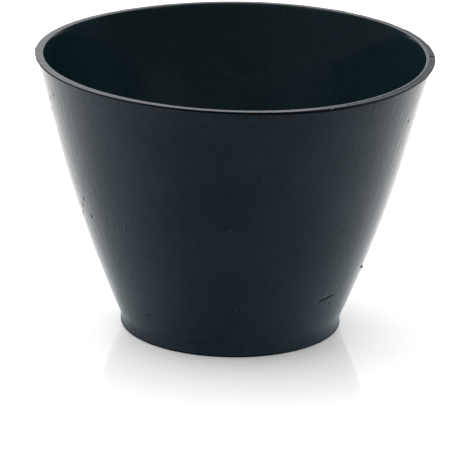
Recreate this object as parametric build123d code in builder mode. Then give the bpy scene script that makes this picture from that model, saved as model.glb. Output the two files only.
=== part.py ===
from build123d import *
from math import atan, cos, sin
import os

# Flexible mixing bowl, compression-moulded in one piece from black rubber: a flared,
# slightly bellied wall, a trimmed rim face with a small lip, and a short foot ring.
# Millimetres, +Z up. The origin is the centre of the foot, on the level it stands on.

# Overall sizes
rim_diameter = 125.0  # across the lip
height = 88.0  # standing level to rim face
foot_diameter = 70.0  # across the foot ring's side

# Wall
rim_wall = 2.2  # thickness square to the wall, down to where its bend starts
foot_wall = 3.2  # from the foot ring's side to the bottom of the inside wall
straight_wall_height = 28.0  # straight flare, measured down from the rim face
belly = 1.65  # how far the wall stands outside a plain cone where its bend starts

# Rim
lip_overhang = 0.55  # how far the lip stands outside the wall's own line
lip_height = 1.0  # rim face to the lip's underside
rim_edge_radius = 0.2  # trimmed edges of the rim face

# Inside
floor_thickness = 4.0  # above the recess under the foot
floor_corner_radius = 14.0  # floor to inside wall, swept clean by a brush or a spatula

# Foot
foot_height = 3.6  # upright side of the foot ring
foot_blend_radius = 7.0  # hollow between the foot ring and the wall
foot_edge_radius = 0.6  # standing edge
standing_ring_width = 5.0  # ring that touches the worktop
recess_depth = 1.2  # shallow hollow inside the standing ring
recess_edge_radius = 0.5  # both edges of that hollow

# Worked out from the sizes above
rim_radius = rim_diameter / 2
foot_radius = foot_diameter / 2
recess_radius = foot_radius - standing_ring_width
floor_level = recess_depth + floor_thickness

# Outside wall line: up from the foot ring's top corner, through the point where the
# bend ends and the straight flare starts, to the level of the rim face.
wall_top_radius = rim_radius - lip_overhang
bend_level = height - straight_wall_height
cone_slope = (wall_top_radius - foot_radius) / (height - foot_height)
bend_radius = foot_radius + cone_slope * (bend_level - foot_height) + belly
flare_slope = (wall_top_radius - bend_radius) / straight_wall_height
flare_angle = atan(flare_slope)
down_the_wall = (-sin(flare_angle), -cos(flare_angle))

# The lip's underside meets the wall line here.
lip_level = height - lip_height
lip_root_radius = wall_top_radius - lip_height * flare_slope

# The inside wall is the outside one moved in by the wall's level thickness.
level_wall = rim_wall / cos(flare_angle)
inner_top_radius = wall_top_radius - level_wall
inner_bend_radius = bend_radius - level_wall
inner_foot_radius = foot_radius - foot_wall

os.makedirs("parts", exist_ok=True)

with BuildPart() as bowl:
    # Outside shape, solid to the rim face
    with BuildSketch(Plane.XZ) as outside:
        with BuildLine():
            Polyline((0, 0), (foot_radius, 0), (foot_radius, foot_height))
            TangentArc(
                (bend_radius, bend_level),
                (foot_radius, foot_height),
                tangent=down_the_wall,
            )
            Polyline(
                (bend_radius, bend_level),
                (lip_root_radius, lip_level),
                (rim_radius, lip_level),
                (rim_radius, height),
                (0, height),
                (0, 0),
            )
        make_face()
        foot_top = outside.vertices().sort_by_distance((foot_radius, foot_height))[0]
        fillet(foot_top, foot_blend_radius)
        standing_edge = outside.vertices().sort_by_distance((foot_radius, 0))[0]
        fillet(standing_edge, foot_edge_radius)
    revolve(axis=Axis.Z)

    # Inside, with its swept floor corner
    with BuildSketch(Plane.XZ) as inside:
        with BuildLine():
            Line((inner_top_radius, height), (inner_bend_radius, bend_level))
            TangentArc(
                (inner_bend_radius, bend_level),
                (inner_foot_radius, floor_level),
                tangent=down_the_wall,
            )
            Polyline(
                (inner_foot_radius, floor_level),
                (0, floor_level),
                (0, height),
                (inner_top_radius, height),
            )
        make_face()
        floor_corner = inside.vertices().sort_by_distance((inner_foot_radius, floor_level))[0]
        fillet(floor_corner, floor_corner_radius)
    revolve(axis=Axis.Z, mode=Mode.SUBTRACT)

    # Trimmed edges of the rim face
    rim_edges = bowl.edges().filter_by_position(Axis.Z, height, height)
    fillet(rim_edges, rim_edge_radius)

    # Recess under the foot, so that only a ring touches the worktop
    with BuildSketch(Plane.XY):
        Circle(recess_radius)
    extrude(amount=recess_depth, mode=Mode.SUBTRACT)
    recess_edges = (
        bowl.edges()
        .filter_by(GeomType.CIRCLE)
        .filter_by(lambda edge: abs(edge.radius - recess_radius) < recess_edge_radius / 2)
        .filter_by_position(Axis.Z, 0, recess_depth)
    )
    fillet(recess_edges, recess_edge_radius)

bowl.part.label = "bowl"
export_step(bowl.part, "parts/bowl.step")
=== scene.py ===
"""A flexible hair-colour mixing bowl, moulded in one piece from black rubber.

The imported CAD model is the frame. One detailed mesh stands for its single node: the
flared wall with its foot ring, the hand-trimmed rim face and lip, the swept floor and
the recess under the foot, with the small faults that a soft moulding picks up in use.
Sizes are named in millimetres and turned to metres once. Angles are in degrees.
"""

import logging
import math
from dataclasses import dataclass, field
from enum import Enum
from typing import Callable

import bmesh
import bpy
from mathutils import Matrix, Vector, noise


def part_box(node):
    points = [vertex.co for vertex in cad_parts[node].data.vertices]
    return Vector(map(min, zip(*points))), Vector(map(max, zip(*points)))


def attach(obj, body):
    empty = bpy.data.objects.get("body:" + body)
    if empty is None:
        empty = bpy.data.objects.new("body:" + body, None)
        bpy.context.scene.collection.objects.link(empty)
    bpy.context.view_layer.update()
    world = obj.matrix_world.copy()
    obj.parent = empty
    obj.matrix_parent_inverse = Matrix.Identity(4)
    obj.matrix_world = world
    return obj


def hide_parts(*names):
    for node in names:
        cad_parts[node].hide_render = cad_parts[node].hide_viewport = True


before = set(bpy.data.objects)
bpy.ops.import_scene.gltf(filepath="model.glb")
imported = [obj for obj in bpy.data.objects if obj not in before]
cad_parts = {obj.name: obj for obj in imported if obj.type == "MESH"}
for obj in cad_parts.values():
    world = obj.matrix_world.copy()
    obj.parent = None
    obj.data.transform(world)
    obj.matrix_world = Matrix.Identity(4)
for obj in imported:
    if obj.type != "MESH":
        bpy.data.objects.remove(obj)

log = logging.getLogger("rubber_bowl")

Socket = bpy.types.NodeSocket
Vertex = bmesh.types.BMVert
Span = tuple[float, float]
Shade = tuple[float, float, float]

MM = 0.001
NEAR = 0.01  # closeness, in millimetres, that tells one ring of the mesh from the next
AXIS = Vector((0.0, 0.0, 1.0))


def per_metre(size_mm: float) -> float:
    """Texture scale that makes one repeat of a pattern about size_mm long."""
    return 1.0 / (size_mm * MM)


def linear(code: str) -> tuple[float, float, float, float]:
    """Turns an sRGB hex colour to the linear colour that a shader takes.

    Args:
        code: Six hex digits, such as "1c2328".

    Returns:
        Linear red, green, blue and an alpha of one.
    """
    channels = [int(code[i : i + 2], 16) / 255 for i in (0, 2, 4)]
    red, green, blue = (
        c / 12.92 if c <= 0.04045 else ((c + 0.055) / 1.055) ** 2.4 for c in channels
    )
    return red, green, blue, 1.0


def ease(value: float, low: float, high: float) -> float:
    """Smooth step from 0 at low to 1 at high."""
    t = min(max((value - low) / (high - low), 0.0), 1.0)
    return t * t * (3.0 - 2.0 * t)


def azimuth(point: Vector) -> float:
    """Direction of a point round the bowl, from +X towards +Y."""
    return math.degrees(math.atan2(point.y, point.x))


def turn_between(first: float, second: float) -> float:
    """Signed difference of two azimuths, from -180 to 180."""
    return (first - second + 180.0) % 360.0 - 180.0


def make_object(mesh: bmesh.types.BMesh, name: str) -> bpy.types.Object:
    """Makes an object of a mesh, at the origin of the frame.

    Args:
        mesh: The mesh, which is freed.
        name: The object's name.

    Returns:
        The new object, in the scene.
    """
    data = bpy.data.meshes.new(name)
    mesh.to_mesh(data)
    mesh.free()
    made = bpy.data.objects.new(name, data)
    bpy.context.scene.collection.objects.link(made)
    return made


class Zone(Enum):
    """Where a face of the bowl lies. The value is its material slot's number."""

    WALL = 0
    RIM_FACE = 1
    INSIDE = 2
    UNDERSIDE = 3
    LIP = 4


# ---- Finishes ----


class Nodes:
    """The node tree of a material or of the world."""

    def __init__(self, owner: bpy.types.Material | bpy.types.World, coordinates: str) -> None:
        """Empties the tree and starts it with the coordinates that its patterns follow.

        Args:
            owner: The material or the world.
            coordinates: The output of the Texture Coordinate node that is used.
        """
        owner.use_nodes = True
        self.tree = owner.node_tree
        self.tree.nodes.clear()
        self.place = self.add("TexCoord", output=coordinates)

    def add(
        self,
        kind: str,
        inputs: dict | None = None,
        output: int | str = 0,
        **settings: object,
    ) -> Socket | None:
        """Adds one node to the tree.

        Args:
            kind: The node's class name, after ShaderNode.
            inputs: What each input gets, by name or number: a value, or the output socket
                that feeds it.
            output: The output to return, by name or number.
            **settings: The node's own settings.

        Returns:
            The output asked for, or None for a node that has no outputs.
        """
        node = self.tree.nodes.new("ShaderNode" + kind)
        for name, value in settings.items():
            setattr(node, name, value)
        for name, value in (inputs or {}).items():
            if isinstance(value, Socket):
                self.tree.links.new(value, node.inputs[name])
            else:
                node.inputs[name].default_value = value
        return node.outputs[output] if len(node.outputs) else None


@dataclass(frozen=True)
class Fade:
    """A value that goes from low to high while another goes from begin to end."""

    begin: float
    end: float
    low: float = 0.0
    high: float = 1.0

    def inputs(self, value: Socket) -> dict[str, Socket | float]:
        """What the inputs of a Map Range node get, to fade with a value."""
        names = ("Value", "From Min", "From Max", "To Min", "To Max")
        return dict(zip(names, (value, self.begin, self.end, self.low, self.high)))


@dataclass(frozen=True)
class RubberFinish:
    """Compression-moulded rubber, filled with carbon black.

    The polished mould leaves a soft gloss with a slight waviness. A thin bloom of wax
    migrates to the surface and dulls it unevenly, and dust clings to it. Sizes, depths
    and spacings are in millimetres. The bloom, the scratches and the dots show only
    where their noise is high, and the specks and hairlines are drawn as coarse as they
    need to be to show.
    """

    name: str
    body: str = "1c272f"
    bloom: str = "28343c"
    dust: str = "97a2a6"
    refraction: float = 1.52
    specular: float = 0.5
    roughness: float = 0.16
    roughness_spread: float = 0.05
    bloom_size: float = 24.0
    bloom_shown: Fade = Fade(0.4, 0.62)
    mottle_size: float = 2.2
    mottle_share: float = 0.4
    wave_size: float = 2.2
    wave_depth: float = 0.085
    wave_stretch: float = 0.65
    grain_size: float = 0.8
    grain_depth: float = 0.015
    dust_spacing: float = 3.4
    dust_size: float = 0.44
    dust_veil: float = 0.42
    dots_begin: float = 0.5
    dot_edge: float = 0.3
    pit_spacing: float = 9.0
    pit_size: float = 0.5
    pit_depth: float = 0.25
    scratch_spacing: float = 19.0
    scratch_bend: float = 30.0
    scratch_width: float = 0.3
    scratch_depth: float = 0.012
    scratch_shown: Fade = Fade(0.58, 0.68)

    def material(self) -> bpy.types.Material:
        """Builds the finish as a procedural material on object coordinates.

        Returns:
            The new material.
        """
        made = bpy.data.materials.new(self.name)
        nodes = Nodes(made, "Object")
        bloom = self.patches(nodes)
        specks = self.dots(nodes, self.dust_spacing, self.dust_size)
        rubber = nodes.add(
            "Mix",
            {0: bloom, 6: linear(self.body), 7: linear(self.bloom)},
            output=2,
            data_type="RGBA",
        )
        veiled = nodes.add("Math", {0: specks, 1: self.dust_veil}, operation="MULTIPLY")
        colour = nodes.add(
            "Mix", {0: veiled, 6: rubber, 7: linear(self.dust)}, output=2, data_type="RGBA"
        )
        shader = nodes.add(
            "BsdfPrincipled",
            {
                "Base Color": colour,
                "Roughness": self.dullness(nodes, bloom),
                "IOR": self.refraction,
                "Specular IOR Level": self.specular,
                "Normal": self.relief(nodes),
            },
        )
        nodes.add("OutputMaterial", {"Surface": shader})
        return made

    def patches(self, nodes: Nodes) -> Socket:
        """Adds the uneven bloom: broad patches with a finer mottle in them.

        Args:
            nodes: The material's nodes.

        Returns:
            0 on bare rubber, up to 1 where the bloom is full.
        """
        broad, fine = (
            nodes.add(
                "TexNoise", {"Vector": nodes.place, "Scale": per_metre(size), "Detail": detail}
            )
            for size, detail in ((self.bloom_size, 4.0), (self.mottle_size, 3.0))
        )
        mixed = nodes.add("Mix", {0: self.mottle_share, 2: broad, 3: fine})
        return nodes.add("MapRange", self.bloom_shown.inputs(mixed))

    def dullness(self, nodes: Nodes, bloom: Socket) -> Socket:
        """Adds the roughness, higher where the bloom lies, and returns it."""
        ends = (self.roughness - self.roughness_spread, self.roughness + self.roughness_spread)
        return nodes.add("MapRange", Fade(0.0, 1.0, *ends).inputs(bloom))

    def dots(self, nodes: Nodes, spacing: float, size: float) -> Socket:
        """Adds scattered dots, about half of the cells empty and each dot its own size.

        Args:
            nodes: The material's nodes.
            spacing: Distance between cells.
            size: Largest radius of a dot.

        Returns:
            1 inside a dot, fading to 0 at its edge.
        """
        chance = nodes.add(
            "TexVoronoi", {"Vector": nodes.place, "Scale": per_metre(spacing)}, output="Color"
        )
        grown = Fade(self.dots_begin, 1.0, 0.0, size / spacing)
        reach = nodes.add("MapRange", grown.inputs(chance))
        inside = nodes.add(
            "Math", {0: reach, 1: chance.node.outputs["Distance"]}, operation="SUBTRACT"
        )
        return nodes.add(
            "MapRange",
            Fade(0.0, self.dot_edge * size / spacing).inputs(inside),
            interpolation_type="SMOOTHSTEP",
        )

    def scratches(self, nodes: Nodes) -> Socket:
        """Adds hairline scratches: bent lines that come and go.

        Args:
            nodes: The material's nodes.

        Returns:
            1 on a line and 0 beside it.
        """
        bend, kept = (
            nodes.add(
                "TexNoise",
                {"Vector": nodes.place, "Scale": per_metre(size), "Detail": detail},
                output=output,
            )
            for size, detail, output in (
                (self.scratch_spacing, 1.0, "Color"),
                (self.scratch_spacing / 2, 0.0, 0),
            )
        )
        bent = nodes.add(
            "VectorMath",
            {0: bend, 1: (self.scratch_bend * MM,) * 3, 2: nodes.place},
            operation="MULTIPLY_ADD",
        )
        lines = nodes.add(
            "TexVoronoi",
            {"Vector": bent, "Scale": per_metre(self.scratch_spacing)},
            output="Distance",
            feature="DISTANCE_TO_EDGE",
        )
        on_line = nodes.add(
            "MapRange",
            Fade(0.0, self.scratch_width / self.scratch_spacing, 1.0, 0.0).inputs(lines),
            interpolation_type="SMOOTHSTEP",
        )
        shown = nodes.add("MapRange", self.scratch_shown.inputs(kept))
        return nodes.add("Math", {0: on_line, 1: shown}, operation="MULTIPLY")

    def relief(self, nodes: Nodes) -> Socket:
        """Adds the waviness, the grain, the pits and the scratches.

        Args:
            nodes: The material's nodes.

        Returns:
            The bumped normal.
        """
        drawn_up = nodes.add(
            "VectorMath", {0: nodes.place, 1: (1.0, 1.0, self.wave_stretch)}, operation="MULTIPLY"
        )
        waves, grain = (
            nodes.add("TexNoise", {"Vector": where, "Scale": per_metre(size), "Detail": detail})
            for where, size, detail in (
                (drawn_up, self.wave_size, 3.0),
                (nodes.place, self.grain_size, 2.0),
            )
        )
        normal = None
        for height, depth, sunk in (
            (waves, self.wave_depth, False),
            (grain, self.grain_depth, False),
            (self.dots(nodes, self.pit_spacing, self.pit_size), self.pit_depth, True),
            (self.scratches(nodes), self.scratch_depth, True),
        ):
            inputs = {"Height": height, "Strength": 1.0, "Distance": depth * MM}
            if normal:
                inputs["Normal"] = normal
            normal = nodes.add("Bump", inputs, invert=sunk)
        return normal


@dataclass(frozen=True)
class TrimmedRubber(RubberFinish):
    """The same rubber where the moulding flash was cut and buffed off the rim.

    The blade and the wheel leave short marks across the face. They are coarse beyond
    the step on one side, where the wheel didn't reach, and slight elsewhere.
    """

    mark_pitch: float = 0.6
    mark_length: float = 1.6
    mark_depth: float = 0.06
    mark_share: float = 0.7
    marks_shown: Fade = Fade(0.3, 0.7)
    marks_left: Fade = Fade(0.0, 1.0, 0.15, 1.0)
    ring_radius: float = 61.0
    beyond_step: Fade = Fade(60.7 * MM, 60.9 * MM)
    coarse_side: Fade = Fade(18.0 * MM, 42.0 * MM)
    coarse_roughness: float = 0.62

    def relief(self, nodes: Nodes) -> Socket:
        """Adds trimming marks that run across the face, whatever the azimuth.

        Args:
            nodes: The material's nodes.

        Returns:
            The bumped normal.
        """
        depth = nodes.add("MapRange", self.marks_left.inputs(self.coarse(nodes)))
        height = nodes.add("Math", {0: self.marks(nodes), 1: depth}, operation="MULTIPLY")
        return nodes.add(
            "Bump",
            {
                "Height": height,
                "Strength": 1.0,
                "Distance": self.mark_depth * MM,
                "Normal": super().relief(nodes),
            },
        )

    def dullness(self, nodes: Nodes, bloom: Socket) -> Socket:
        """Adds a roughness that is high on the coarse side, and returns it."""
        parts = {0: self.coarse(nodes), 2: super().dullness(nodes, bloom), 3: self.coarse_roughness}
        return nodes.add("Mix", parts)

    def patches(self, nodes: Nodes) -> Socket:
        """Adds paler and darker marks side by side along the rim, and returns them."""
        marks = nodes.add("MapRange", self.marks_shown.inputs(self.marks(nodes)))
        return nodes.add("Mix", {0: self.mark_share, 2: super().patches(nodes), 3: marks})

    def level_place(self, nodes: Nodes) -> Socket:
        """Adds the place on the bowl with its height left out, and returns it."""
        parts = {0: nodes.place, 1: (1.0, 1.0, 0.0)}
        return nodes.add("VectorMath", parts, operation="MULTIPLY")

    def coarse(self, nodes: Nodes) -> Socket:
        """Adds the part of the face beyond the step, on the side the wheel didn't reach.

        Args:
            nodes: The material's nodes.

        Returns:
            1 there, and 0 elsewhere.
        """
        radius = nodes.add(
            "VectorMath", {0: self.level_place(nodes)}, output="Value", operation="LENGTH"
        )
        across = nodes.add("SeparateXYZ", {0: nodes.place}, output="X")
        beyond = nodes.add("MapRange", self.beyond_step.inputs(radius))
        side = nodes.add(
            "MapRange", self.coarse_side.inputs(across), interpolation_type="SMOOTHSTEP"
        )
        return nodes.add("Math", {0: beyond, 1: side}, operation="MULTIPLY")

    def marks(self, nodes: Nodes) -> Socket:
        """Adds a noise that changes fast along the rim and slowly across it.

        Args:
            nodes: The material's nodes.

        Returns:
            The noise, from 0 to 1.
        """
        flat = self.level_place(nodes)
        outwards = nodes.add("VectorMath", {0: flat}, operation="NORMALIZE")
        on_ring = nodes.add(
            "VectorMath", {0: outwards, "Scale": self.ring_radius * MM}, operation="SCALE"
        )
        across = nodes.add("VectorMath", {0: flat, 1: on_ring}, operation="SUBTRACT")
        slow = nodes.add(
            "VectorMath",
            {0: across, "Scale": self.mark_pitch / self.mark_length},
            operation="SCALE",
        )
        drawn = nodes.add("VectorMath", {0: on_ring, 1: slow}, operation="ADD")
        return nodes.add(
            "TexNoise", {"Vector": drawn, "Scale": per_metre(self.mark_pitch), "Detail": 2.0}
        )


# ---- Shape ----


# Rows of the noise field that the lip's depth and the step in the rim face follow
LIP_ROW = 4.0
STEP_ROW = 9.0


@dataclass(frozen=True)
class TangentArc:
    """An arc in the half section that leaves a straight run and ends at a point.

    Points are (radius, height). The arc's centre is on the bowl's axis side.
    """

    start: Vector
    end: Vector
    direction: Vector

    @property
    def reach(self) -> float:
        """Signed distance from the start to the centre, along the run's normal."""
        chord = self.end - self.start
        return chord.length_squared / (2.0 * chord.dot(self.normal))

    @property
    def normal(self) -> Vector:
        """Square to the run at the start."""
        return Vector((-self.direction.y, self.direction.x))

    @property
    def centre(self) -> Vector:
        """Centre of the arc."""
        return self.start + self.normal * self.reach

    @property
    def radius(self) -> float:
        """Radius of the arc."""
        return abs(self.reach)

    def radius_at(self, height: float) -> float:
        """Distance from the bowl's axis to the arc at a height."""
        rise = height - self.centre.y
        return self.centre.x + math.sqrt(self.radius**2 - rise**2)


class Outline:
    """A half section drawn as a wire in the XZ plane, from its tip onwards."""

    def __init__(self, mesh: bmesh.types.BMesh, radius: float, height: float) -> None:
        """Starts the wire.

        Args:
            mesh: Where the wire is drawn.
            radius: Distance of the first point from the axis.
            height: Height of the first point.
        """
        self.mesh = mesh
        self.tip = mesh.verts.new((radius, 0.0, height))

    def run(self, radius: float, height: float, steps: int = 1) -> None:
        """Draws a straight run.

        Args:
            radius: Distance of its end from the axis.
            height: Height of its end.
            steps: How many equal edges it has.
        """
        begin = self.tip.co.copy()
        end = Vector((radius, 0.0, height))
        for step in range(1, steps + 1):
            grown = bmesh.ops.extrude_vert_indiv(self.mesh, verts=[self.tip])
            self.tip = grown["verts"][0]
            self.tip.co = begin.lerp(end, step / steps)

    def arc(self, centre: Vector, end: Vector, steps: int) -> None:
        """Draws an arc, the short way round.

        Args:
            centre: The arc's centre.
            end: Where it ends.
            steps: How many edges it has.
        """
        begin = Vector((self.tip.co.x, self.tip.co.z)) - centre
        finish = end - centre
        swept = math.atan2(begin.cross(finish), begin.dot(finish))
        drawn = bmesh.ops.spin(
            self.mesh,
            geom=[self.tip],
            cent=(centre.x, 0.0, centre.y),
            axis=(0.0, -1.0, 0.0),
            angle=swept,
            steps=steps,
        )
        self.tip = next(v for v in drawn["geom_last"] if isinstance(v, Vertex))


@dataclass(frozen=True)
class Mark:
    """A small sunk or raised fault on a surface of the bowl.

    Sizes are in millimetres. lean is the angle of its length from level.
    """

    # It fades away between these shares of its length and of its width
    ENDS = (0.25, 0.55)
    SIDES = (0.1, 0.75)
    MARGIN = 0.6

    around: float
    height: float
    length: float
    width: float
    rise: float
    lean: float = 0.0

    @property
    def reach(self) -> float:
        """Radius of the patch of wall that the fault lies in, in millimetres."""
        return self.ENDS[1] * self.length + self.MARGIN

    def across_and_along(self, off: Vector, level: Vector) -> Span:
        """Measures how far a point is from the fault's middle.

        Args:
            off: The point's place beside the middle.
            level: The level direction along the wall.

        Returns:
            The distances across the fault and along it.
        """
        lean = math.radians(self.lean)
        flat = off.dot(level)
        along = flat * math.cos(lean) + off.z * math.sin(lean)
        return abs(off.z * math.cos(lean) - flat * math.sin(lean)), abs(along)

    def lift(self, off: Vector, level: Vector) -> float:
        """Works out how high the fault stands.

        Args:
            off: A point's place beside the middle.
            level: The level direction along the wall.

        Returns:
            The height there, below 0 where it is sunk.
        """
        across, along = self.across_and_along(off, level)
        ends = 1.0 - ease(along / self.length, *self.ENDS)
        return self.rise * ends * (1.0 - ease(across / self.width, *self.SIDES))


@dataclass
class RubberBowl:
    """The one moulding, as a closed mesh in the frame of its CAD node.

    Sizes are in millimetres.
    """

    rim_radius: float
    height: float
    foot_radius: float = 35.0
    foot_height: float = 3.6
    foot_blend_radius: float = 7.0
    foot_edge_radius: float = 0.6
    standing_ring_width: float = 5.0
    recess_depth: float = 1.2
    recess_edge_radius: float = 0.5
    straight_wall_height: float = 28.0
    belly: float = 1.65
    rim_wall: float = 2.2
    foot_wall: float = 3.2
    lip_overhang: float = 0.55
    lip_height: float = 1.0
    rim_edge_radius: float = 0.2
    rim_round: float = 0.28
    lip_side: float = 0.45
    lip_undercut: float = 0.12
    lip_edge_radius: float = 0.08
    floor_thickness: float = 4.0
    floor_corner_radius: float = 14.0

    # How far the soft rim stands out of true, and where it stands highest and widest
    rim_warp: float = 0.45
    warp_azimuth: float = 33.0
    rim_lean: float = 0.5
    lean_azimuth: float = 114.0
    rim_wave: float = 0.1
    wave_azimuth: float = -95.0
    rim_oval: float = 0.12
    oval_azimuth: float = 40.0
    mouth_eased: float = 0.1
    rear_eased: float = 0.3
    slack_begin: float = 0.05
    eased_begin: float = 0.5
    rim_rise: float = 0.4
    wall_ripple: float = 0.06
    ripple_size: float = 19.0
    ripple_span: Span = (0.03, 0.12)

    # The step that the blade left in the rim face: where it is full and where it ends,
    # on either side of its azimuth, and how uneven it is
    step_across: float = 0.95
    step_width: float = 0.25
    step_depth: float = 0.28
    step_azimuth: float = 2.0
    step_span: Span = (38.0, 75.0)
    step_least: float = 0.7
    step_uneven: float = 0.6
    step_waver_size: float = 6.0

    # The lip's uneven depth and spread, and the stretch of the rim's outer edge that takes painted
    # shade
    lip_thin: float = 0.6
    lip_thick: float = 1.15
    lip_thick_azimuth: float = -42.0
    lip_thick_span: Span = (12.0, 62.0)
    lip_waver: float = 0.12
    lip_waver_size: float = 9.0
    spread_all: float = -0.3
    spread_right: float = 0.15
    spread_sides: float = 0.4
    spread_left_front: float = 0.06
    shaded_edge_azimuth: float = -80.0
    shaded_edge_reach: float = 110.0
    shaded_edge_facing: float = 0.85
    flash_size: float = 0.25
    flash_azimuth: float = 179.0
    flash_span: Span = (0.9, 1.8)

    # A nick in the outer half of the rim face
    nick_azimuth: float = 1.2
    nick_width: float = 1.0
    nick_depth: float = 0.6
    nick_inset: float = 0.9
    nick_reach: float = 1.7
    nick_bottom: float = 0.6

    # How finely the mesh is drawn, and how its faces are told apart
    steps_round: int = 480
    ring_pitch: float = 1.5
    mid_wall: float = 1.5
    foot_margin: float = 1.0
    node: str = "bowl"
    mesh: bmesh.types.BMesh = field(default_factory=bmesh.new)

    # Each mark's azimuth, height, length, width, rise and lean
    marks: tuple[Mark, ...] = tuple(
        Mark(*sizes)
        for sizes in (
            (-43.3, 17.6, 8.0, 0.6, -0.42, 9.0),
            (-39.9, 15.2, 0.8, 0.8, -0.3),
            (-16.0, 22.6, 0.8, 0.8, 0.45),
            (-130.4, 11.6, 1.0, 1.0, -0.3),
            (-131.3, 42.1, 1.2, 0.8, 0.25, 40.0),
            (-107.9, 82.2, 0.8, 0.7, 0.2),
            (-93.4, 83.1, 0.8, 0.7, 0.2),
            (-22.4, 74.1, 1.2, 0.6, -0.2, -60.0),
            (-88.0, 44.5, 12.0, 0.5, -0.05, 10.0),
            (-155.0, 46.5, 1.6, 0.6, -0.22, 70.0),
            (-158.5, 43.5, 2.0, 0.6, -0.25, 62.0),
            (-152.0, 41.5, 1.8, 0.6, -0.2, 75.0),
            (-161.5, 40.5, 1.5, 0.6, -0.2, 55.0),
            (-163.0, 77.5, 1.4, 0.5, -0.22, 65.0),
            (-158.0, 80.0, 1.0, 0.6, -0.2, 30.0),
            (-166.0, 73.0, 1.8, 0.5, -0.2, 72.0),
        )
    )

    @classmethod
    def from_frame(cls) -> "RubberBowl":
        """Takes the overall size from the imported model's box."""
        low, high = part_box("bowl")
        return cls(rim_radius=high.x / MM, height=(high.z - low.z) / MM)

    # Sizes worked out from the fields, in millimetres

    @property
    def lip_level(self) -> float:
        """Height of the lip's underside."""
        return self.height - self.lip_height

    @property
    def bend_level(self) -> float:
        """Height where the wall's bend ends and its straight flare starts."""
        return self.height - self.straight_wall_height

    @property
    def wall_top_radius(self) -> float:
        """Where the wall's outside line meets the level of the rim face."""
        return self.rim_radius - self.lip_overhang

    @property
    def bend_radius(self) -> float:
        """Radius of the outside where the straight flare starts."""
        cone = (self.wall_top_radius - self.foot_radius) / (self.height - self.foot_height)
        return self.foot_radius + cone * (self.bend_level - self.foot_height) + self.belly

    @property
    def flare_slope(self) -> float:
        """Growth of the radius for each millimetre up the straight flare."""
        return (self.wall_top_radius - self.bend_radius) / self.straight_wall_height

    @property
    def down_the_wall(self) -> Vector:
        """Unit direction down the straight flare, as (radius, height)."""
        return Vector((-self.flare_slope, -1.0)).normalized()

    @property
    def level_wall(self) -> float:
        """Thickness of the straight flare, measured level."""
        return self.rim_wall * math.hypot(1.0, self.flare_slope)

    @property
    def inner_top_radius(self) -> float:
        """Radius of the mouth."""
        return self.wall_top_radius - self.level_wall

    @property
    def floor_level(self) -> float:
        """Height of the inside floor."""
        return self.recess_depth + self.floor_thickness

    @property
    def outer_arc(self) -> TangentArc:
        """Outside of the wall between the foot ring and the straight flare."""
        return TangentArc(
            Vector((self.bend_radius, self.bend_level)),
            Vector((self.foot_radius, self.foot_height)),
            self.down_the_wall,
        )

    @property
    def inner_arc(self) -> TangentArc:
        """Inside of the wall between the floor and the straight flare."""
        return TangentArc(
            Vector((self.bend_radius - self.level_wall, self.bend_level)),
            Vector((self.foot_radius - self.foot_wall, self.floor_level)),
            self.down_the_wall,
        )

    def wall_line(self, height: float) -> float:
        """Works out the radius of the wall's outside above its blend with the foot.

        Args:
            height: A height.

        Returns:
            The radius there.
        """
        if height > self.bend_level:
            return self.bend_radius + self.flare_slope * (height - self.bend_level)
        return self.outer_arc.radius_at(height)

    # Making the mesh

    def build(self) -> bpy.types.Object:
        """Models the bowl, gives it its finishes and puts it in its node's place.

        Returns:
            The finished bowl.
        """
        mesh = self.mesh
        self.draw_section()
        bmesh.ops.spin(
            mesh,
            geom=mesh.verts[:] + mesh.edges[:],
            cent=(0.0, 0.0, 0.0),
            axis=AXIS,
            angle=math.tau,
            steps=self.steps_round,
            use_merge=True,
        )
        bmesh.ops.remove_doubles(mesh, verts=mesh.verts[:], dist=0.001)
        bmesh.ops.recalc_face_normals(mesh, faces=mesh.faces[:])
        self.zone_faces()
        self.round_edges()
        self.paint_shade_on_outer_edge()
        self.trim_rim()
        self.add_marks()
        self.nick_rim()
        self.loosen()
        bmesh.ops.scale(mesh, vec=(MM, MM, MM), verts=mesh.verts[:])
        return self.dress(make_object(mesh, "rubber_bowl"))

    def draw_section(self) -> None:
        """Draws the half section, from under the middle of the foot round to the floor."""
        recess_radius = self.foot_radius - self.standing_ring_width
        outer, inner = self.outer_arc, self.inner_arc

        line = Outline(self.mesh, 0.0, self.recess_depth)
        line.run(recess_radius, self.recess_depth, steps=8)
        line.run(recess_radius, 0.0)
        line.run(self.foot_radius, 0.0, steps=4)

        blend = self.foot_blend_centre()
        wall_foot = outer.centre + (blend - outer.centre).normalized() * outer.radius
        line.run(self.foot_radius, blend.y, steps=3)
        line.arc(blend, wall_foot, steps=5)
        rings = round((self.bend_level - wall_foot.y) / self.ring_pitch)
        line.arc(outer.centre, outer.start, steps=rings)
        lip_root = self.wall_line(self.lip_level)
        rings = round((self.lip_level - self.bend_level) / self.ring_pitch)
        line.run(lip_root, self.lip_level, steps=rings)

        line.run(self.rim_radius - self.lip_undercut, self.height - self.lip_side, steps=2)
        line.run(self.rim_radius, self.height)
        step_radius = self.inner_top_radius + self.step_across
        line.run(step_radius + self.step_width, self.height, steps=5)
        line.run(step_radius, self.height)
        line.run(self.inner_top_radius, self.height, steps=2)

        rings = round(self.straight_wall_height / self.ring_pitch)
        line.run(inner.start.x, inner.start.y, steps=rings)
        corner = self.floor_corner_centre()
        wall_end = inner.centre + (corner - inner.centre).normalized() * inner.radius
        rings = round((self.bend_level - wall_end.y) / self.ring_pitch)
        line.arc(inner.centre, wall_end, steps=rings)
        line.arc(corner, Vector((corner.x, self.floor_level)), steps=12)
        line.run(0.0, self.floor_level, steps=8)

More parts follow.
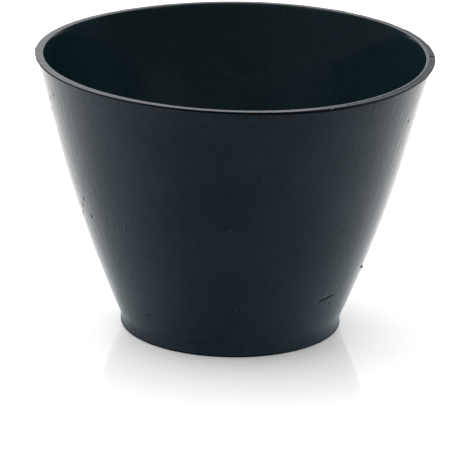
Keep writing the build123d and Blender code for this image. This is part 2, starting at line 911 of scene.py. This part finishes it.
    def foot_blend_centre(self) -> Vector:
        """Finds the hollow blend's centre: outside the foot ring and outside the wall's arc.

        Returns:
            The centre, as (radius, height).
        """
        outer = self.outer_arc
        radius = self.foot_radius + self.foot_blend_radius
        drop = (outer.radius + self.foot_blend_radius) ** 2 - (radius - outer.centre.x) ** 2
        return Vector((radius, outer.centre.y - math.sqrt(drop)))

    def floor_corner_centre(self) -> Vector:
        """Finds the floor corner's centre: above the floor and inside the inner wall's arc.

        Returns:
            The centre, as (radius, height).
        """
        inner = self.inner_arc
        height = self.floor_level + self.floor_corner_radius
        reach = (inner.radius - self.floor_corner_radius) ** 2 - (height - inner.centre.y) ** 2
        return Vector((inner.centre.x + math.sqrt(reach), height))

    def zone_faces(self) -> None:
        """Gives each face the material slot of its zone."""
        for face in self.mesh.faces:
            middle = face.calc_center_median()
            radius = middle.xy.length
            inner_half = radius < self.wall_line(max(middle.z, self.foot_height)) - self.mid_wall
            under_foot = radius < self.foot_radius - self.foot_margin
            if middle.z > self.height - NEAR:
                zone = Zone.RIM_FACE
            elif middle.z > self.lip_level and not inner_half:
                # The lip's side and underside take the near-black cut finish: painted shade under
                # the lip
                zone = Zone.LIP
            elif middle.z < self.recess_depth + NEAR and under_foot:
                zone = Zone.UNDERSIDE
            elif inner_half:
                zone = Zone.INSIDE
            else:
                zone = Zone.WALL
            face.material_index = zone.value
            face.smooth = True

    def ring(self, radius: float, height: float) -> list[bmesh.types.BMEdge]:
        """Finds one ring of the spun mesh.

        Args:
            radius: The ring's radius.
            height: The ring's height.

        Returns:
            The ring's edges.
        """

        def on_ring(vert: Vertex) -> bool:
            """Tells whether a vertex lies on the ring."""
            near = 2.0 * NEAR
            return abs(vert.co.z - height) < near and abs(vert.co.xy.length - radius) < near

        return [edge for edge in self.mesh.edges if all(on_ring(vert) for vert in edge.verts)]

    def round_edges(self) -> None:
        """Rounds the moulded and trimmed edges, and keeps the lip's root crisp."""
        recess_radius = self.foot_radius - self.standing_ring_width
        lip_foot = (self.rim_radius - self.lip_undercut, self.height - self.lip_side)
        for radius, height, size, segments in (
            (self.foot_radius, 0.0, self.foot_edge_radius, 4),
            (recess_radius, 0.0, self.recess_edge_radius, 3),
            (recess_radius, self.recess_depth, self.recess_edge_radius, 3),
            (*lip_foot, self.lip_edge_radius, 2),
            (self.rim_radius, self.height, self.rim_round, 4),
            (self.inner_top_radius, self.height, self.rim_edge_radius, 3),
        ):
            bmesh.ops.bevel(
                self.mesh,
                geom=self.ring(radius, height),
                offset=size,
                offset_type="OFFSET",
                segments=segments,
                profile=0.5,
                affect="EDGES",
                material=-1,
            )
        for edge in self.ring(self.wall_line(self.lip_level), self.lip_level):
            edge.smooth = False

    def paint_shade_on_outer_edge(self) -> None:
        """Gives the sideways-facing faces of the rim's outer edge, all round but at the rear, the
        cut lip's finish, whose near-black colour there is painted shade.
        """
        for face in self.mesh.faces:
            middle = face.calc_center_median()
            outer = middle.xy.length > self.rim_radius - self.rim_round
            off = abs(turn_between(azimuth(middle), self.shaded_edge_azimuth))
            if outer and middle.z > self.lip_level and off < self.shaded_edge_reach:
                # Faces turned sideways rather than up take the near-black finish: painted shade
                # along the edge
                if face.normal.z < self.shaded_edge_facing:
                    face.material_index = Zone.LIP.value

    def lip_depth(self, around: float) -> float:
        """Works out the lip's depth: cut thin, but left thicker on one side.

        Args:
            around: An azimuth.

        Returns:
            The depth there.
        """
        off = abs(turn_between(around, self.lip_thick_azimuth))
        left_thick = 1.0 - ease(off, *self.lip_thick_span)
        place = Vector((around / self.lip_waver_size, LIP_ROW, 0.0))
        waver = self.lip_waver * noise.noise(place)
        return self.lip_thin + (self.lip_thick - self.lip_thin) * left_thick + waver

    def lip_spread(self, around: float) -> float:
        """Works out how much further out than usual the lip stands.

        Args:
            around: An azimuth.

        Returns:
            The distance there.
        """
        turn = math.radians(around)
        left_front = (1.0 - math.cos(turn)) * (1.0 - math.sin(turn)) * (1.0 - math.cos(4.0 * turn))
        spread = self.spread_all + self.spread_right * math.cos(turn)
        spread += self.spread_sides * math.cos(2.0 * turn)
        return spread + self.spread_left_front * left_front

    def flash(self, around: float) -> float:
        """How far a scrap of flash, left by the trimming, stands out from the lip."""
        off = abs(turn_between(around, self.flash_azimuth))
        return self.flash_size * (1.0 - ease(off, *self.flash_span))

    def trim_rim(self) -> None:
        """Cuts the lip to its uneven shape and steps the rim face where the blade ran."""
        step_radius = self.inner_top_radius + self.step_across + self.step_width / 2
        step_edge = (step_radius - 0.1, step_radius + 0.1)
        lip_span = (self.rim_radius - self.lip_overhang - 0.4, self.rim_radius - 0.2)
        under_lip = self.height - self.lip_side - self.lip_edge_radius
        at_root = 0.9  # share of the way down the lip where it joins the wall
        for vert in self.mesh.verts:
            radius = vert.co.xy.length
            around = azimuth(vert.co)
            if radius < self.inner_top_radius - NEAR or vert.co.z < self.lip_level - NEAR:
                continue
            spread = (self.lip_spread(around) + self.flash(around)) * ease(radius, *lip_span)
            if vert.co.z < under_lip:
                share = (under_lip - vert.co.z) / (under_lip - self.lip_level)
                raised = vert.co.z + share * (self.lip_height - self.lip_depth(around))
                if share > at_root:
                    vert.co.xy *= self.wall_line(raised) / radius
                    spread = 0.0
                vert.co.z = min(raised, under_lip)
            elif vert.co.z > self.height - self.rim_round - NEAR:
                side = 1.0 - ease(abs(turn_between(around, self.step_azimuth)), *self.step_span)
                place = Vector((around / self.step_waver_size, STEP_ROW, 0.0))
                uneven = self.step_least + self.step_uneven * noise.noise(place)
                vert.co.z -= self.step_depth * side * ease(radius, *step_edge) * uneven
            vert.co.xy *= 1.0 + spread / vert.co.xy.length

    def add_marks(self) -> None:
        """Works the marks into the wall, each on a strip of finer mesh."""
        for mark in self.marks:
            centre, level = self.on_wall(mark.around, mark.height)
            for cuts, border in ((3, mark.width + 0.5), (1, mark.width)):
                self.refine(
                    centre,
                    mark.reach,
                    cuts,
                    lambda off: mark.across_and_along(off, level)[0] < border,
                )
        lifts: dict[Vertex, float] = {}
        for mark in self.marks:
            centre, level = self.on_wall(mark.around, mark.height)
            for vert in self.mesh.verts:
                off = vert.co - centre
                if off.length < mark.reach:
                    lifts[vert] = lifts.get(vert, 0.0) + mark.lift(off, level)
        for vert, lift in lifts.items():
            line = self.wall_line(vert.co.z)
            outwards = Vector((vert.co.x, vert.co.y, -line * self.flare_slope)).normalized()
            vert.co += outwards * lift

    def on_wall(self, around: float, height: float) -> tuple[Vector, Vector]:
        """Finds a place on the outside of the wall.

        Args:
            around: Its azimuth.
            height: Its height.

        Returns:
            The point, and the level direction along the wall there.
        """
        turn = math.radians(around)
        radius = self.wall_line(height)
        point = Vector((radius * math.cos(turn), radius * math.sin(turn), height))
        return point, Vector((-math.sin(turn), math.cos(turn), 0.0))

    def refine(
        self,
        centre: Vector,
        reach: float,
        cuts: int,
        wanted: Callable[[Vector], bool] = lambda off: True,
    ) -> set[Vertex]:
        """Divides the faces near a point.

        Args:
            centre: Middle of the patch.
            reach: How far the patch goes from its middle.
            cuts: How many times each edge is cut.
            wanted: Tells from its place beside the middle whether a face is in the patch.

        Returns:
            The vertices of the patch, old and new.
        """
        edges = set()
        for face in self.mesh.faces:
            off = face.calc_center_median() - centre
            if off.length < reach and wanted(off):
                edges.update(face.edges)
        cut = bmesh.ops.subdivide_edges(self.mesh, edges=list(edges), cuts=cuts, use_grid_fill=True)
        inner = {item for item in cut["geom_inner"] if isinstance(item, Vertex)}
        return inner | {vert for edge in edges if edge.is_valid for vert in edge.verts}

    def nick_rim(self) -> None:
        """Nicks the outer half of the rim face, where it was caught against an edge."""
        turn = math.radians(self.nick_azimuth)
        middle = self.rim_radius - self.nick_inset
        centre = Vector((middle * math.cos(turn), middle * math.sin(turn), self.height))
        inner_end = (middle - 0.75, middle - 0.35)
        shaded_from = 0.05  # share of the full depth past which the nick's faces take the dull cut finish, with its near-black colour as painted shade
        shaded_in_nick: set[Vertex] = set()
        for vert in self.refine(centre, self.nick_reach, cuts=3):
            if vert.co.z < self.height - self.nick_bottom:
                continue
            sideways = math.radians(turn_between(azimuth(vert.co), self.nick_azimuth)) * middle
            sunk = 1.0 - ease(abs(sideways) / self.nick_width, 0.1, 0.7)
            share = ease(vert.co.xy.length, *inner_end) * sunk
            vert.co.z -= self.nick_depth * share
            if share > shaded_from:
                shaded_in_nick.add(vert)
        # The deep faces of the nick take the near-black cut finish: painted shade in the pit
        for face in {face for vert in shaded_in_nick for face in vert.link_faces}:
            if all(vert in shaded_in_nick for vert in face.verts):
                face.material_index = Zone.LIP.value

    def loosen(self) -> None:
        """Lets the soft wall stand a little out of true, more towards its rim."""
        for vert in self.mesh.verts:
            share = max(vert.co.z / self.height, 0.0)
            turn = math.radians(azimuth(vert.co))
            slack = ease(share, self.slack_begin, 1.0)
            up = self.rim_warp * math.cos(2.0 * (turn - math.radians(self.warp_azimuth)))
            up += self.rim_lean * math.cos(turn - math.radians(self.lean_azimuth))
            front = 0.5 - 0.5 * math.sin(turn)
            wave = math.cos(3.0 * (turn - math.radians(self.wave_azimuth)))
            up += self.rim_wave * front * wave
            wide = self.rim_oval * math.cos(2.0 * (turn - math.radians(self.oval_azimuth)))
            ripple = self.wall_ripple * noise.noise(vert.co / self.ripple_size)
            radius = vert.co.xy.length
            mid_wall = self.wall_line(vert.co.z) - 0.5 * self.level_wall
            thinned = 0.0
            if radius < mid_wall and share > self.eased_begin:
                eased = self.mouth_eased * (1.0 + math.cos(2.0 * turn))
                eased += self.rear_eased * max(math.sin(turn), 0.0) ** 2
                thinned = eased * ease(share, self.eased_begin, 1.0)
            if radius > 1.0:
                moved = wide * slack + ripple * ease(share, *self.ripple_span) + thinned
                vert.co.xy *= 1.0 + moved / radius
            vert.co.z += up * slack * share + self.rim_rise * share

    def dress(self, piece: bpy.types.Object) -> bpy.types.Object:
        """Gives the piece its finishes and ties it to the frame.

        Args:
            piece: The bowl.

        Returns:
            The same piece.
        """
        finishes: dict[Zone, RubberFinish] = {
            # As the polished mould left it: a soft gloss, with bloom, dust, pits and ripples
            Zone.WALL: RubberFinish("moulded_black_rubber"),
            # Cut and buffed: duller and greyer, with short marks side by side
            Zone.RIM_FACE: TrimmedRubber(
                "trimmed_black_rubber", body="172028", bloom="252d33", roughness=0.28
            ),
            # Sheared by a blade and never buffed, so dull with little gloss; its near-black colour
            # is painted shade, under the lip, along the rim's outer edge and in the nick
            Zone.LIP: RubberFinish(
                "knife_cut_rubber_with_painted_shade",
                body="0d1114",
                bloom="12171a",
                specular=0.08,
                roughness=0.6,
            ),
            # Wiped clean in use: darker, smoother and glossier, with little dust
            Zone.INSIDE: RubberFinish(
                "wiped_black_rubber",
                body="101f24",
                bloom="15272d",
                roughness=0.1,
                roughness_spread=0.02,
                wave_depth=0.02,
                dust_spacing=6.0,
                scratch_depth=0.004,
            ),
            # Scuffed on worktops: paler and matt
            Zone.UNDERSIDE: RubberFinish("scuffed_black_rubber", bloom="30383d", roughness=0.5),
        }
        for zone in Zone:
            piece.data.materials.append(finishes[zone].material())
        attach(piece, "root")
        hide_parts(self.node)
        return piece

# ---- Studio ----


@dataclass
class Studio:
    """A white sweep lit from behind and above, a dark room on the camera's side.

    Brightness is in units of the paper white of the backdrop. The floor is in metres.
    """

    floor_radius: float = 6.0
    floor_gap: float = 0.00003
    floor_sides: int = 96
    floor_white: float = 1.14
    floor_roughness: float = 0.02
    floor_refraction: float = 1.49

    # The painted light that the floor glows with for the bowl, in front of it, beside it and behind
    # it, and the painted shade that dims it near the foot and right at its edge
    floor_front: Shade = (0.1, 0.135, 0.16)
    floor_beside: Shade = (0.43, 0.485, 0.51)
    floor_behind: Shade = (1.2, 1.17, 1.15)
    painted_shade_near_foot: Fade = Fade(35.0 * MM, 52.0 * MM, 1.17, 1.5)
    painted_contact_shadow: Fade = Fade(35.0 * MM, 36.6 * MM, 0.1, 1.0)

    # Light from low down and from overhead by how far it comes from behind, light from
    # the sides by how far it comes from a side, and the shares of height between them
    low_light: Fade = Fade(0.5, 0.93, 0.08, 1.22)
    overhead_light: Fade = Fade(-0.5, 0.4, 1.6, 4.2)
    side_light: Fade = Fade(0.5, 0.9, 0.3, 2.6)
    over_sheet: Fade = Fade(0.3, 0.5)
    overhead: Fade = Fade(0.6, 0.88)
    zenith: Fade = Fade(0.9, 0.97, 1.0, 0.3)
    left_gain: float = 0.25

    # A long lens, looking down into the bowl: place in metres, lens in millimetres
    camera_place: Vector = field(default_factory=lambda: Vector((0.0, -1.1471, 0.4149)))
    pitch: float = 18.614
    yaw: float = 0.0535
    roll: float = 1.002
    lens: float = 291.8
    sensor: float = 36.0

    def build(self) -> None:
        """Makes the floor, the surroundings and the camera."""
        self.lay_floor()
        self.light_surroundings()
        self.set_camera()
        bpy.context.scene.view_settings.view_transform = "Standard"

    def lay_floor(self) -> None:
        """Lays a round white floor at the level of the foot."""
        mesh = bmesh.new()
        bmesh.ops.create_circle(
            mesh, cap_ends=True, segments=self.floor_sides, radius=self.floor_radius
        )
        bmesh.ops.translate(mesh, vec=(0.0, 0.0, -self.floor_gap), verts=mesh.verts[:])
        floor = make_object(mesh, "floor")
        floor.data.materials.append(self.floor_material())

    def floor_material(self) -> bpy.types.Material:
        """White acrylic sheet, which mirrors what stands on it.

        For every ray but the camera's, the sheet glows with painted light in place of what it would
        throw back: dim towards the front of the set, as behind a black flag, bright behind, with
        painted shade near the foot and a painted contact shadow at its edge. The sheet itself is
        seen white all over.

        Returns:
            The new material.
        """
        made = bpy.data.materials.new("white_acrylic_sheet")
        nodes = Nodes(made, "Object")
        outwards = nodes.add("VectorMath", {0: nodes.place}, operation="NORMALIZE")
        rearwards = nodes.add("SeparateXYZ", {0: outwards}, output="Y")
        lit = nodes.add("MapRange", Fade(-1.0, 1.0).inputs(rearwards))
        colour = nodes.add("ValToRGB", {0: lit})
        stops = colour.node.color_ramp.elements
        stops.new(0.5)
        for stop, shade in zip(stops, (self.floor_front, self.floor_beside, self.floor_behind)):
            stop.color = (*shade, 1.0)
        away = nodes.add("VectorMath", {0: nodes.place}, output="Value", operation="LENGTH")
        near, touching = (
            nodes.add("MapRange", fade.inputs(away)) for fade in (self.painted_shade_near_foot, self.painted_contact_shadow)
        )
        strength = nodes.add("Math", {0: near, 1: touching}, operation="MULTIPLY")
        # Painted light: the sheet glows for the bowl, and its painted shade near the foot stands in
        # for the bowl's shadow
        painted_bounce_light = nodes.add("Emission", {"Color": colour, "Strength": strength})
        sheet = nodes.add(
            "BsdfPrincipled",
            {
                "Base Color": (self.floor_white,) * 3 + (1.0,),
                "Roughness": self.floor_roughness,
                "IOR": self.floor_refraction,
            },
        )
        seen = nodes.add("LightPath", output="Is Camera Ray")
        shown = nodes.add("MixShader", {0: seen, 1: painted_bounce_light, 2: sheet})
        nodes.add("OutputMaterial", {"Surface": shown})
        return made

    def light_surroundings(self) -> None:
        """Lights the set from behind and above, and leaves the camera's side dark."""
        world = bpy.data.worlds.new("light_tent")
        bpy.context.scene.world = world
        nodes = Nodes(world, "Generated")
        across = nodes.add("SeparateXYZ", {0: nodes.place}, output="X")
        rearwards, upwards = (across.node.outputs[axis] for axis in "YZ")
        sideways = nodes.add("Math", {0: across}, operation="ABSOLUTE")
        low, above, gap, over_sheet, overhead, dimmed = (
            nodes.add("MapRange", fade.inputs(value), interpolation_type=curve)
            for fade, value, curve in (
                (self.low_light, rearwards, "SMOOTHSTEP"),
                (self.overhead_light, rearwards, "SMOOTHSTEP"),
                (self.side_light, sideways, "LINEAR"),
                (self.over_sheet, upwards, "SMOOTHSTEP"),
                (self.overhead, upwards, "SMOOTHSTEP"),
                (self.zenith, upwards, "SMOOTHSTEP"),
            )
        )
        lower = nodes.add("Mix", {0: over_sheet, 2: low, 3: gap})
        light = nodes.add("Mix", {0: overhead, 2: lower, 3: above})
        uneven = nodes.add(
            "Math", {0: across, 1: -self.left_gain, 2: 1.0}, operation="MULTIPLY_ADD"
        )
        for factor in (light, dimmed):
            uneven = nodes.add("Math", {0: uneven, 1: factor}, operation="MULTIPLY")
        seen = nodes.add("LightPath", output="Is Camera Ray")
        strength = nodes.add("Mix", {0: seen, 2: uneven, 3: 1.0})
        backdrop = nodes.add("Background", {"Color": (1.0, 1.0, 1.0, 1.0), "Strength": strength})
        nodes.add("OutputWorld", {"Surface": backdrop})

    def set_camera(self) -> None:
        """Sets up the camera."""
        data = bpy.data.cameras.new("camera")
        data.lens = self.lens
        data.sensor_width = self.sensor
        camera = bpy.data.objects.new("camera", data)
        bpy.context.scene.collection.objects.link(camera)
        camera.matrix_world = (
            Matrix.Translation(self.camera_place)
            @ Matrix.Rotation(-math.radians(self.yaw), 4, "Z")
            @ Matrix.Rotation(math.radians(90.0 - self.pitch), 4, "X")
            @ Matrix.Rotation(math.radians(self.roll), 4, "Z")
        )
        bpy.context.scene.camera = camera


def main() -> None:
    """Builds the bowl and its studio."""
    logging.basicConfig(level=logging.INFO, format="%(message)s")
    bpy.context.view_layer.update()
    bowl = RubberBowl.from_frame().build()
    log.info("%s: %d faces", bowl.name, len(bowl.data.polygons))
    Studio().build()
    log.info("studio: floor, surroundings and camera")


if __name__ == "__main__":
    main()
